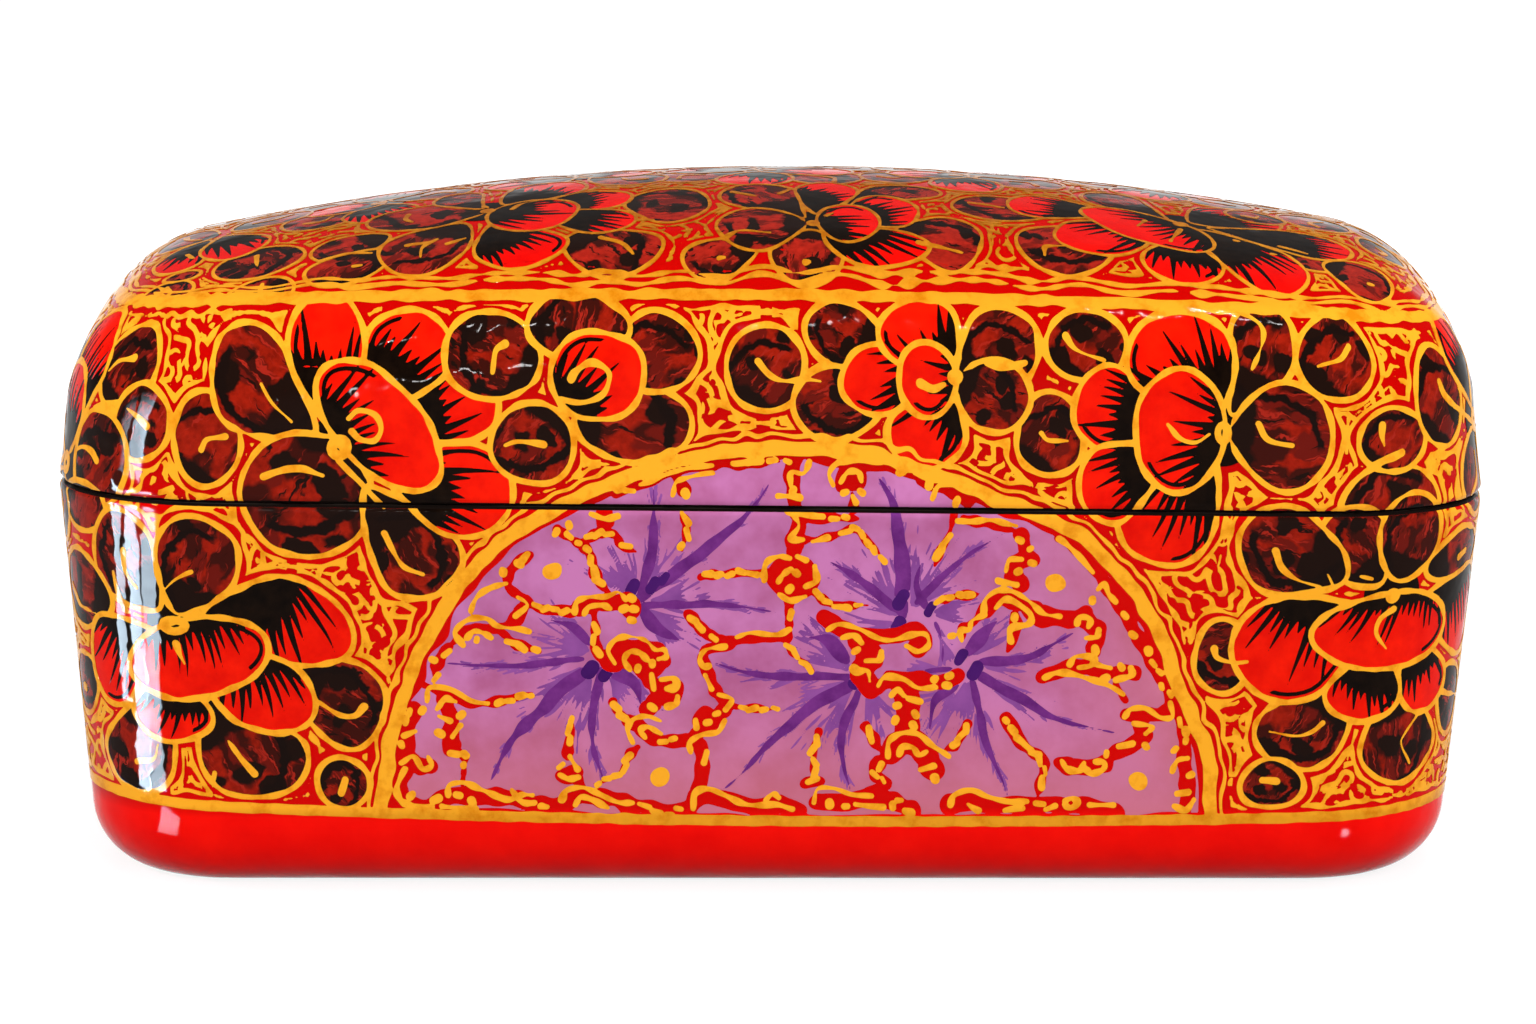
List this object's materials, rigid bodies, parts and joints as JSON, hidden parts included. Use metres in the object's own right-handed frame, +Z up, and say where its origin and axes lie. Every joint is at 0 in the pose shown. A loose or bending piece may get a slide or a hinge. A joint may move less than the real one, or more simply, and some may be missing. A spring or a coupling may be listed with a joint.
{
  "type": "papier mache box",
  "caption": "Oblong papier mache box with rounded corners, a lift-off domed lid, a sawn seam and an inner collar that locates the lid, painted with flowers and lacquered.",
  "frame": {"origin": "on the table, at the middle of the flat face that the box stands on", "axes": "+X along the box, +Y from the front to the back, +Z up"},
  "size_m": [0.1518, 0.0758, 0.073],
  "materials": {
    "lacquered_papier_mache": "painted red with gold-outlined flowers under a very glossy clear lacquer; plain black lacquer inside and underneath",
    "black_lacquered_board": "pasted board strip under plain black lacquer"
  },
  "bodies": {
    "base": {"base_shell": "lacquered_papier_mache", "locating_collar": "black_lacquered_board"},
    "lid": {"lid_shell": "lacquered_papier_mache"}
  },
  "joints": [
    {"name": "lid_lift", "type": "slide", "parent": "base", "child": "lid", "axis": [0, 0, 1], "range_m": [0, 0.08]}
  ]
}
